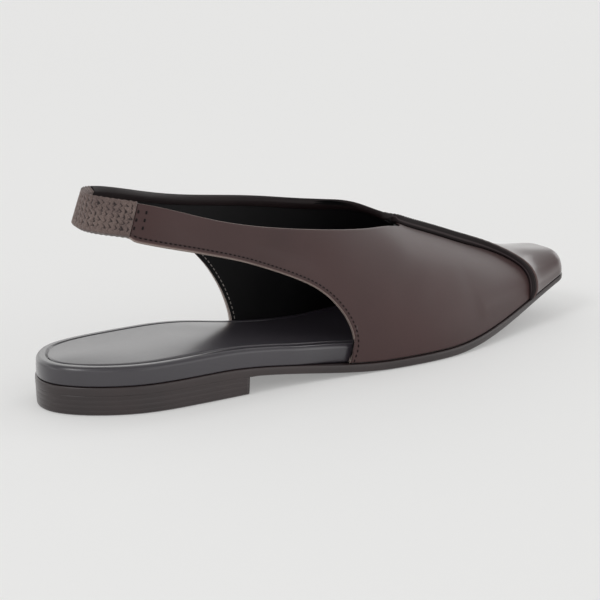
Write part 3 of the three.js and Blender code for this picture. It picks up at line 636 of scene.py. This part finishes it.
def panelGrid(top, bottom, across, outer, inner, name, materials, seamRows=0, highlightEdgeRows=None, warp=None, round=6, flatten=0.55):
    # Panel between two lines on the last: outer skin, rounded edge, inner skin, rounded edge.
    # The skin rolls in over the last millimetre to its edge: 0.35 (1 - d)^2. Materials are
    # for the skin, the lower edge, the inner skin and the upper edge
    rows = len(top)
    v = np.linspace(0.0, 1.0, across)
    v = v - 0.8 * np.sin(2 * math.pi * v) / (2 * math.pi)
    line = bottom[:, None, :] + (top - bottom)[:, None, :] * v[None, :, None]
    line = line if warp is None else warp(line)
    plain = lastPoint(line[..., 0], line[..., 1], 0.0)
    gaps = np.linalg.norm(np.diff(plain, axis=1), axis=-1)
    fromBottom = np.concatenate([np.zeros((rows, 1)), np.cumsum(gaps, 1)], 1)
    fromTop = fromBottom[:, -1:] - fromBottom
    above = plain[..., 2] - soleTop(plain[..., 0])
    crease = creaseAt(plain) * smooth(np.minimum(fromTop, fromBottom) / 12.0)
    tuckIn = 0.55 * np.maximum(1.0 - above / 0.7, 0.0) ** 2
    tuckIn += 0.35 * (np.maximum(1.0 - fromTop, 0.0) ** 2 + np.maximum(1.0 - fromBottom, 0.0) ** 2)
    out = lastPoint(line[..., 0], line[..., 1], outer(plain) + tuckIn + crease)
    ins = lastPoint(line[..., 0], line[..., 1], inner(plain) + crease)

    def edge(k, step):
        # Half round between the two skins, bulging away from the panel
        a, b = out[:, k], ins[:, k]
        away = (out[:, k] - out[:, k + step]) + (ins[:, k] - ins[:, k + step])
        away /= np.linalg.norm(away, axis=1)[:, None] + 1e-9
        half, centre = (a - b) / 2.0, (a + b) / 2.0
        thick = np.linalg.norm(half, axis=1)[:, None]
        angle = np.linspace(0.0, math.pi, round + 2)[1:-1]
        return (centre[:, None] + half[:, None] * np.cos(angle)[None, :, None]
                + (away * thick * flatten)[:, None] * np.sin(angle)[None, :, None])
    ring = np.concatenate([out, edge(across - 1, -1), ins[:, ::-1], edge(0, 1)[:, ::-1]], 1)
    count = ring.shape[1]
    slot = np.zeros(count, int)
    slot[across - 1: across + round] = 3
    slot[across + round: 2 * across + round - 1] = 2
    slot[2 * across + round - 1:] = 1
    slots = np.tile(slot, (rows - 1, 1))
    # From the given row on, the edges take the dark lining colour in place of the pale painted highlight
    slots[rows if highlightEdgeRows is None else highlightEdgeRows:][:, slot != 0] = 2
    faces = gridFaces(rows, count, closed=True).tolist()
    faces += [list(range(count))[::-1], list(range((rows - 1) * count, rows * count))]
    seam, foot = np.full((rows, count), 50.0), np.full((rows, count), 50.0)
    seam[:seamRows, :across] = fromBottom[:seamRows]
    foot[:, :across] = above
    return addMesh(name, ring.reshape(-1, 3), faces, materials,
                   np.concatenate([slots.ravel(), [1, 2]]), {"seam": seam, "foot": foot})


def joinLines(parts, counts):
    # Even samples of each part, ends shared
    pieces = [evenLine(p, n + 1)[(0 if i == 0 else 1):] for i, (p, n) in enumerate(zip(parts, counts))]
    return np.vstack(pieces)


def splitAt(line, share):
    # Index where a line passes a share of the length
    return int(np.argmin(np.abs(surfaceLine(line)[:, 0] - share * shoe["length"])))


print("upper panels")
foot = {side: opening[side][-1, 0] for side in ("lateral", "medial")}
flat = lambda inset: (lambda points: np.full(points.shape[:-1], inset))

# lateral panel: side opening, then feather line, against top line, then wrap edge
cut = splitAt(lateralEdge, 0.54)
counts = [130, 60, 90]
middleRun = runAt(0.70 * shoe["length"])
upperLine = joinLines([lateralEdge[:cut + 1], lateralEdge[cut:], lateralFront], counts)
lowerLine = joinLines([opening["lateral"], soleLine("lateral", foot["lateral"], middleRun, 60),
                       soleLine("lateral", middleRun, lateralFront[-1, 0], 80)], counts)
lateralPanel = panelGrid(upperLine, lowerLine, 56, flat(0.0), flat(shoe["leather"]), "lateral_panel",
                         [upperCalf, cutEdgeHighlight, liningKid, cutEdgeHighlight], seamRows=counts[0], highlightEdgeRows=counts[0] + 50)

# medial panel with the toe: the same on the other side, then round the toe
topCut, ridgeCut = splitAt(panelEdge[:500], 0.45), splitAt(panelEdge[:700], 0.66)
counts = [130, 60, 110, 60]
toeEnd = runLength + shoe["toeCap"]
upperLine = joinLines([panelEdge[:topCut + 1], panelEdge[topCut:ridgeCut + 1], panelEdge[ridgeCut:],
                       soleLine("lateral", panelEdge[-1, 0], toeEnd, 60)], counts)


def aheadOfEdge(line, start=counts[0] + counts[1], soft=0.5):
    # Rows from the ridge on stay on the toe side of the wrap edge, which bows towards the toe:
    # edge + soft ln(1 + exp((run - edge) / soft)) with the edge's run at the same turn
    edge = panelEdge[ridgeCut:][::-1]
    at = np.interp(line[start:, :, 1], edge[:, 1], edge[:, 0])
    line = line.copy()
    line[start:, :, 0] = at + soft * np.logaddexp(0.0, (line[start:, :, 0] - at) / soft)
    return line


midA, midB = runAt(0.62 * shoe["length"]), runAt(0.90 * shoe["length"])
lowerLine = joinLines([opening["medial"], soleLine("medial", foot["medial"], midA, 60),
                       soleLine("medial", midA, midB, 80), soleLine("medial", midB, toeEnd, 60)], counts)
wrapPanel = panelGrid(upperLine, lowerLine, 90, lambda p: -wrapLift(p), flat(shoe["leather"]), "wrap_panel",
                      [toeCalf, cutEdgeHighlight, liningKid, liningKid], seamRows=counts[0], warp=aheadOfEdge)

# lining: both sides to the ridge
lateralLip = join(lateralTop, throatLine(np.linspace(lateralTop[-1, 1] + 0.01, math.pi / 2, 120)))
medialLip = rim[:np.argmax(rim[:, 1] < math.pi / 2)]
for side, lip in (("lateral", lateralLip), ("medial", medialLip)):
    counts = [110, 90]
    end = runLength - 6.0
    ridge = np.stack([np.linspace(lip[-1, 0], end, 60), np.full(60, math.pi / 2)], -1)
    panelGrid(joinLines([lip, ridge], counts),
              joinLines([opening[side], soleLine(side, foot[side], end, 60)], counts), 40,
              flat(shoe["leather"] + 0.02), flat(shoe["wall"]), side + "_lining", [liningKid, cutEdgeHighlight, liningKid, liningKid])

# Sole pieces
print("sole")


def plateRing(runs, rows, across, crown):
    # Closed rings: rim rows up the lateral side, across the top, down the medial side
    x = stationX(runs)

    def rim(side):
        sign = -1.0 if side == "lateral" else 1.0
        points = []
        for inset, height in rows:
            value = inset(x, side) if callable(inset) else np.full_like(x, inset)
            ex, eh = edgeAt(runs, side, value)
            points.append(np.stack([ex, sign * eh, height(x)], -1))
        return np.stack(points, 1)
    lateral, medial = rim("lateral"), rim("medial")[:, ::-1]

    def fill(a, b, rise):
        t = np.linspace(0.0, 1.0, across + 2)[1:-1][None, :, None]
        p = a[:, None] * (1 - t) + b[:, None] * t
        width = np.abs(a[:, 1] - b[:, 1])[:, None]
        p[..., 2] += rise * np.sin(math.pi * t[..., 0]) * smooth(width / (0.6 * shoe["ballWidth"]))
        return p
    top = fill(lateral[:, -1], medial[:, 0], crown)
    bottom = fill(medial[:, -1], lateral[:, 0], 0.0)
    return np.concatenate([lateral, top, medial, bottom], 1)


def addPlate(name, start, end, rows, material, across=18, crown=0.0, step=1.5):
    runs = np.linspace(start, end, int((end - start) / step) + 2)
    if end > runLength - 1.0:
        runs = np.unique(np.concatenate([runs, np.linspace(runLength - toeArc, runLength, 12)]))
    ring = plateRing(runs, rows, across, crown)
    count = ring.shape[1]
    faces = gridFaces(len(runs), count, closed=True).tolist()
    faces += [list(range((len(runs) - 1) * count, len(runs) * count)), list(range(count))[::-1]]
    return addMesh(name, ring.reshape(-1, 3), faces, [material])


def arcRows(inset, height, radius, start, end, count):
    # Rim rows round a quarter circle: inset grows by 1 - cos and height follows sin
    turns = np.radians(np.linspace(start, end, count))
    return [((lambda x, side, t=t: inset(x, side) + radius(x) * (1 - math.cos(t))),
             (lambda x, t=t: height(x) - radius(x) * (1 - math.sin(t)))) for t in turns]


# Outsole: rolled lower edge ahead of the heel, sharp over it
rollIn = lambda share: (lambda x, side: share * (0.1 + 0.8 * smooth((x - shoe["heelLength"]) / 6.0)))
outsoleRows = [(rollIn(1.0), soleUnder), (rollIn(0.4), lambda x: soleUnder(x) + 0.12), (rollIn(0.08), lambda x: soleUnder(x) + 0.4),
               (0.0, lambda x: soleUnder(x) + 0.8), (-0.05, lambda x: (soleUnder(x) + soleTop(x)) / 2),
               (0.0, lambda x: soleTop(x) - 0.5), (0.12, lambda x: soleTop(x) - 0.2), (0.4, lambda x: soleTop(x) - 0.02)]
outsole = addPlate("outsole_leather", 0.0, runLength, outsoleRows, soleEdge)

# Heel: lifts glued and trimmed together, so their joints are only hair lines
heelTop = lambda x: soleUnder(x) - 0.02
heelRun = runAt(np.array([shoe["heelLength"]]))[0]
lifts = 3
heelRows = [(1.1, lambda x: np.zeros_like(x)), (0.72, lambda x: np.full_like(x, 0.15)), (0.55, lambda x: np.full_like(x, 0.45))]
for k in range(1, lifts + 1):
    share = k / (lifts + 0.8)
    taper = 0.5 - 0.4 * share
    heelRows += [(taper, lambda x, s=share: heelTop(x) * s - 0.12), (taper + 0.05, lambda x, s=share: heelTop(x) * s),
                 (taper, lambda x, s=share: heelTop(x) * s + 0.12)]
heelRows += [(0.1, lambda x: heelTop(x) - 0.3), (0.1, heelTop)]
heel = addPlate("stacked_heel", 0.0, heelRun, heelRows, soleEdge)

insideVamp = shoe["ledge"] + shoe["wall"] + 2.0 * shoe["clearance"]


def footbedInset(x, side):
    start = (openingRows[side][-2][0] - 0.11) * shoe["length"]
    return shoe["ledge"] / 2 + (insideVamp - shoe["ledge"] / 2) * smooth((x - start) / (0.1 * shoe["length"]))


def footbedTop(x):
    thin = smooth((x / shoe["length"] - 0.46) / 0.4)
    return soleTop(x) + shoe["clearance"] + shoe["footbed"] + (shoe["footbedToe"] - shoe["footbed"]) * thin


def shoulderAt(x):
    return np.minimum(2.0, (footbedTop(x) - soleTop(x)) * 0.7)


def padDepthAt(x):
    return np.minimum(shoe["padDepth"], (footbedTop(x) - soleTop(x)) * 0.45)


footbedEnd = runAt(np.array([shoe["length"] - 10.0]))[0]
plus = lambda extra: (lambda x, side: footbedInset(x, side) + extra)
rimRows = [(plus(0.5), lambda x: soleTop(x) + 0.12), (plus(0.12), lambda x: soleTop(x) + 0.35),
           (plus(0.0), lambda x: soleTop(x) + 0.9),
           (plus(-0.08), lambda x: soleTop(x) + 0.5 * (footbedTop(x) - soleTop(x)))]
rimRows += arcRows(footbedInset, footbedTop, shoulderAt, 0.0, 90.0, 9)
rimRows += [(plus(shoe["padInset"] - 0.9), lambda x: footbedTop(x) + 0.06), (plus(shoe["padInset"] - 0.45), lambda x: footbedTop(x) + 0.04),
            (plus(shoe["padInset"] - 0.15), lambda x: footbedTop(x) - 0.12), (plus(shoe["padInset"] + 0.02), lambda x: footbedTop(x) - 0.9)]
footbed = addPlate("wrapped_footbed", 0.0, footbedEnd, rimRows, sockLeather)
insoleRows = [(plus(shoe["padInset"] + 0.5), lambda x: footbedTop(x) - 0.8),
              (plus(shoe["padInset"] + 0.6), lambda x: footbedTop(x) - 0.3),
              (plus(shoe["padInset"] + 0.85), lambda x: footbedTop(x) - 0.04), (plus(shoe["padInset"] + 1.4), lambda x: footbedTop(x) + 0.12)]
insole = addPlate("padded_insole", 0.0, footbedEnd, insoleRows, sockLeather, across=30, crown=shoe["padCrown"])

# Wrap edge and elastic
print("wrap edge and elastic")


def bindingStrip(name, stations, material):
    # Folded strip along the rim: a section of sideways and outward steps is carried along
    # it and turns from a fold over the top line into a bead on the lateral panel
    line = evenLine(rim, stations)
    p, _, _, _, aside = frameOn(line)
    lift = wrapLift(p)
    zero = np.zeros_like(lift)
    # sideways steps are into the panel
    fold = [(2.6, -1.7 + zero), (2.6, -2.0 + zero), (2.3, -2.15 + zero), (1.2, -2.1 + zero), (0.2, -2.05 + zero),
            (-0.25, -1.7 + zero), (-0.42, -0.9 + zero), (-0.42, lift * 0.5), (-0.2, lift), (0.15, lift + 0.2),
            (0.8, lift + 0.24), (1.5, lift + 0.2), (1.7, lift + 0.05), (1.7, lift - 0.4)]
    bead = [(0.0, 0.05 + zero), (-0.12, 0.5 + zero), (-0.1, lift - 0.2), (0.15, lift + 0.18), (0.5, lift + 0.3),
            (0.8, lift + 0.2), (0.95, lift + 0.08), (1.1, lift + 0.2), (1.45, lift + 0.32), (1.75, lift + 0.2),
            (1.9, lift + 0.08), (2.1, lift + 0.2), (2.45, lift + 0.24), (2.8, lift - 0.3)]
    side = [-2.4, -1.9, -0.4]  # girth of the bead's side face, ahead of its sideways steps
    turned = smooth((p[:, 0] / shoe["length"] - 0.655) / 0.035)
    ring, strip = [], []
    for (a0, n0), (a1, n1), girth in zip(fold, bead, side + [a for a, _ in bead[len(side):]]):
        step = (a0 * (1 - turned) + a1 * turned)[:, None]
        out = (n0 * (1 - turned) + n1 * turned)[:, None]
        moved = line + aside * step
        ring.append(lastPoint(moved[:, 0], np.maximum(moved[:, 1], 0.0), -out[:, 0]))
        strip.append(girth * turned - (1 - turned) * 9.0)
    ring = np.stack(ring, 1)
    count = ring.shape[1]
    faces = gridFaces(stations, count, closed=True).tolist()
    faces += [list(range((stations - 1) * count, stations * count)), list(range(count))[::-1]]
    return addMesh(name, ring.reshape(-1, 3), faces, [material], attributes={"strip": np.stack(strip, 1)})


wrapEdge = bindingStrip("wrap_edge_binding", 420, bindingCalf)


def elasticLines(count, lap):
    # Top and lower edge of the elastic from the seam round the back, lapping under the strap
    lines = []
    for side in ("lateral", "medial"):
        lower = (catmullRom(openingRows[side], 500) * [shoe["length"], shoe["slingHeight"]]).T
        upper = lambda x: topOf[side](x / shoe["length"]) * shoe["slingHeight"]
        for heightOf in (upper, lambda x: np.interp(x, *lower)):
            run = np.linspace(0.0, 60.0, 600)
            z = np.full_like(run, shoe["slingHeight"])
            for _ in range(12):
                turn = turnAtHeight(run, z, side)
                z = heightOf(lastPoint(run, turn, 0.0)[..., 0])
            line = np.stack([run, turn], -1)
            p = surfaceLine(line)
            lines.append(evenLine(line[p[:, 0] <= seamX(p[:, 2]) + lap], count))
    return lines


pleats = {"pitch": 2.3, "zigzag": 0.5, "rise": 2.2, "height": 13.2, "deep": 0.8, "lap": 2.6, "ruffle": 0.006,
          "uneven": 0.28}


def elasticPiece():
    # Pleats stand where |sin| of the way along, shifted in a zigzag up the band and a
    # little by slow waves, is large; the gaps are deepest at the zigzag's outer bends
    count, across = 170, 48
    lt, lb, mt, mb = elasticLines(count, pleats["lap"])
    v = np.linspace(0.0, 1.0, across)[None, :]
    lateral = lb[::-1][:, None] + (lt - lb)[::-1][:, None] * v[..., None]
    medial = mb[:, None] + (mt - mb)[:, None] * v[..., None]
    line = np.concatenate([lateral[:-1], medial], 0)
    base = lastPoint(line[..., 0], line[..., 1], 0.0)
    along = np.concatenate([[0.0], np.cumsum(np.linalg.norm(np.diff(base[:, across // 2], axis=0), axis=1))])[:, None]
    height = v * pleats["height"]
    noise = sum(np.sin(a * along + b * height + c) for a, b, c in ((0.9, 1.7, 0.3), (-1.6, 0.8, 1.1), (2.3, 2.9, 2.0)))
    zig = 2.0 * np.abs(((height + 0.2 * noise) / pleats["rise"]) % 1.0 - 0.5)
    phase = along / pleats["pitch"] + pleats["zigzag"] * zig + pleats["uneven"] * noise / 3.0
    ridge = np.abs(np.sin(math.pi * phase)) ** 0.8
    ridge = 1.0 - (1.0 - ridge) * (0.45 + 0.55 * zig)
    border = smooth(np.minimum(height, pleats["height"] - height) / 1.4)
    under = smooth((np.minimum(along, along[-1:] - along) - pleats["lap"] + 0.4) / 0.6)
    ridge = 1.0 - (1.0 - ridge) * (0.35 + 0.65 * border)
    wave = pleats["ruffle"] * np.sin(2 * math.pi * along / pleats["pitch"]) * under
    line = line + (line[:, -1:] - line[:, :1]) * ((2 * v - 1) * wave)[..., None]
    lift = -0.75 + (1.0 + pleats["deep"] * ridge) * under
    out = lastPoint(line[..., 0], line[..., 1], -lift)
    ins = lastPoint(line[..., 0], line[..., 1], 1.05 + (0.75 + 0.25 * ridge) * under)
    ring = np.concatenate([out, ins[:, ::-1]], 1)
    rows, columns = ring.shape[:2]
    faces = gridFaces(rows, columns, closed=True).tolist()
    faces += [list(range((rows - 1) * columns, rows * columns)), list(range(columns))[::-1]]
    pleat = np.concatenate([ridge, ridge[:, ::-1]], 1)
    return addMesh("gathered_elastic", ring.reshape(-1, 3), faces, [elasticKnit], attributes={"pleat": pleat})


elastic = elasticPiece()

# Stitching
print("stitching")


def addStitches(name, line, material, lift, look):
    # Thread along a line on the last: each stitch is a capsule, thickest in the middle,
    # whose ends dip: height = lift + rise (1 - t^2) - rise / 2
    length = np.sum(np.linalg.norm(np.diff(surfaceLine(line), axis=0), axis=1))
    count = int(length / look["pitch"])
    line = evenLine(line, 2 * count + 1)
    p, tangent, normal, aside, _ = frameOn(line)
    p, tangent, normal, aside = (q[1::2, None, None] for q in (p, tangent, normal, aside))
    out = (lift(p) if callable(lift) else np.full(p.shape[:3], lift))[..., None]
    t = np.linspace(-1.0, 1.0, 9)[None, :, None, None]
    turn = np.linspace(0.0, 2 * math.pi, 9)[:-1][None, None, :, None]
    thick = look["width"] / 2 * np.sqrt(np.maximum(1.0 - t ** 4, 0.0))
    points = (p + tangent * t * look["stitch"] / 2 + normal * (out + look["rise"] * (0.5 - t * t))
              + (aside * np.cos(turn) + normal * np.sin(turn)) * thick)
    one = gridFaces(9, 8, closed=True)
    faces = (one[None] + (np.arange(count) * 72)[:, None, None]).reshape(-1, 4)
    return addMesh(name, points.reshape(-1, 3), faces.tolist(), [material], merge=0.0005)


def strapEndLine(side, distance):
    # Upright line on the strap at a distance from the elastic's seam
    z = np.linspace(0.845, 0.985, 40) * shoe["slingHeight"]
    line = onSide(seamX(z) + gap + distance, z, side)
    p = surfaceLine(line)
    lower = np.interp(p[:, 0], *(catmullRom(openingRows[side], 500) * [shoe["length"], shoe["slingHeight"]]).T)
    upper = topOf[side](p[:, 0] / shoe["length"]) * shoe["slingHeight"]
    return line[(p[:, 2] > lower + 1.6) & (p[:, 2] < upper - 1.6)]


thread = {"pitch": 2.1, "stitch": 1.4, "width": 0.45, "rise": 0.3}
endThread = {"pitch": 2.9, "stitch": 1.5, "width": 0.75, "rise": 0.2}
liftOf = {"lateral": 0.02, "medial": lambda p: wrapLift(p) + 0.02}
for side, sign in (("lateral", 1.0), ("medial", -1.0)):
    seamLine = shiftLine(opening[side][6:-2], 1.4 * sign)
    addStitches(side + "_opening_stitches", seamLine, threadBrown, liftOf[side], thread)
    addStitches(side + "_lining_stitches", seamLine, threadPale, -shoe["wall"], thread)
    for k, distance in enumerate((1.0, 4.0)):
        addStitches(side + "_strap_stitches_" + str(k + 1), strapEndLine(side, distance), threadBrown, liftOf[side], endThread)

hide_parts("upper")
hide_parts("outsole")
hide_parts("heel")
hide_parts("footbed")
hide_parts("insole")
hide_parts("wrap_edge")
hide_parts("sling_elastic")

# Floor, light and camera
print("stage")
stageLook = {"low": 1.08, "high": 0.70, "rear": 13.0, "front": 7.0, "uneven": 0.4, "glow": 0.26}
floorMesh = bpy.data.meshes.new("floor")
floorMesh.from_pydata([(-40, -40, 0), (40, -40, 0), (40, 40, 0), (-40, 40, 0)], [], [(0, 1, 2, 3)])
floor = bpy.data.objects.new("floor", floorMesh)
floor.location.z = -0.0002
bpy.context.scene.collection.objects.link(floor)
floorMaterial, tree = newMaterial("paleFloor")
grain = addNode(tree, "ShaderNodeTexNoise", Vector=addNode(tree, "ShaderNodeTexCoord").outputs["Object"], Scale=3.0)
tone = addNode(tree, "ShaderNodeMix", {"data_type": "RGBA"}, i0=grain.outputs["Fac"],
               i6=hexColour("#cdcdcd"), i7=hexColour("#cfcfcf"))
shader = addNode(tree, "ShaderNodeBsdfPrincipled", Base_Color=tone.outputs["Result"], Roughness=0.9)
shader.inputs["Specular IOR Level"].default_value = 0.1
# The floor glows a little by itself: painted light that keeps the shadows on it pale
shader.inputs["Emission Color"].default_value = (1.0, 0.998, 0.985, 1.0)
shader.inputs["Emission Strength"].default_value = stageLook["glow"]
addNode(tree, "ShaderNodeOutputMaterial", Surface=shader.outputs["BSDF"])
floorMesh.materials.append(floorMaterial)

# White room: brighter round the horizon than overhead
world = bpy.data.worlds.new("whiteRoom")
bpy.context.scene.world = world
world.use_nodes = True
tree = world.node_tree
tree.nodes.clear()
direction = addNode(tree, "ShaderNodeTexCoord").outputs["Generated"]
height = addNode(tree, "ShaderNodeSeparateXYZ", Vector=direction).outputs["Z"]
glow = addNode(tree, "ShaderNodeMapRange", {"interpolation_type": "SMOOTHSTEP"},
               i0=height, i1=0.1, i2=0.6, i3=stageLook["low"], i4=stageLook["high"])
walls = addNode(tree, "ShaderNodeTexNoise", Vector=direction, Scale=1.8, Detail=0.0)
walls = addNode(tree, "ShaderNodeMapRange", {"interpolation_type": "SMOOTHSTEP"}, i0=walls.outputs["Fac"], i1=0.35, i2=0.65,
                i3=1.0 - stageLook["uneven"], i4=1.0 + stageLook["uneven"])
strength = addNode(tree, "ShaderNodeMath", {"operation": "MULTIPLY"}, i0=glow.outputs["Result"], i1=walls.outputs["Result"])
sky = addNode(tree, "ShaderNodeBackground", Color=(1.0, 0.998, 0.988, 1.0), Strength=strength.outputs["Value"])
addNode(tree, "ShaderNodeOutputWorld", Surface=sky.outputs["Background"])


def areaLight(name, place, target, size, power):
    data = bpy.data.lights.new(name, "AREA")
    data.shape, data.size, data.size_y, data.energy = "RECTANGLE", size[0], size[1], power
    lamp = bpy.data.objects.new(name, data)
    lamp.location = place
    lamp.rotation_euler = (Vector(target) - Vector(place)).to_track_quat("-Z", "Y").to_euler()
    bpy.context.scene.collection.objects.link(lamp)
    return lamp


areaLight("softboxRear", (-2.0, -0.5, 2.2), (0.05, 0.0, 0.0), (1.1, 0.8), stageLook["rear"])
areaLight("softboxFront", (2.6, 0.8, 1.5), (0.1, 0.0, 0.0), (1.2, 1.0), stageLook["front"])

view = {"pan": 0.6322, "tilt": 0.1894, "focal": 2000.0, "place": (-862.95, -1247.78, 443.69),
        "window": (336.0, 444.0, 302.0)}
pan, tilt = view["pan"], view["tilt"]
right = np.array([math.cos(pan), -math.sin(pan), 0.0])
forward = np.array([math.sin(pan) * math.cos(tilt), math.cos(pan) * math.cos(tilt), -math.sin(tilt)])
up = np.cross(right, forward)
centreX, centreY, side = view["window"]
aim = forward + right * (centreX - 300.0) / view["focal"] + up * (300.0 - centreY) / view["focal"]
aim /= np.linalg.norm(aim)
across = np.cross(aim, [0.0, 0.0, 1.0])
across /= np.linalg.norm(across)
upward = np.cross(across, aim)
camera = bpy.data.objects.new("camera", bpy.data.cameras.new("camera"))
camera.data.sensor_width = 36.0
camera.data.lens = 36.0 * view["focal"] / side
camera.matrix_world = Matrix(np.array([[*row] for row in np.vstack([
    np.column_stack([across, upward, -aim, np.array(view["place"]) * mm]), [0, 0, 0, 1]])]).tolist())
bpy.context.scene.collection.objects.link(camera)
bpy.context.scene.camera = camera
bpy.context.scene.view_settings.view_transform = "Standard"
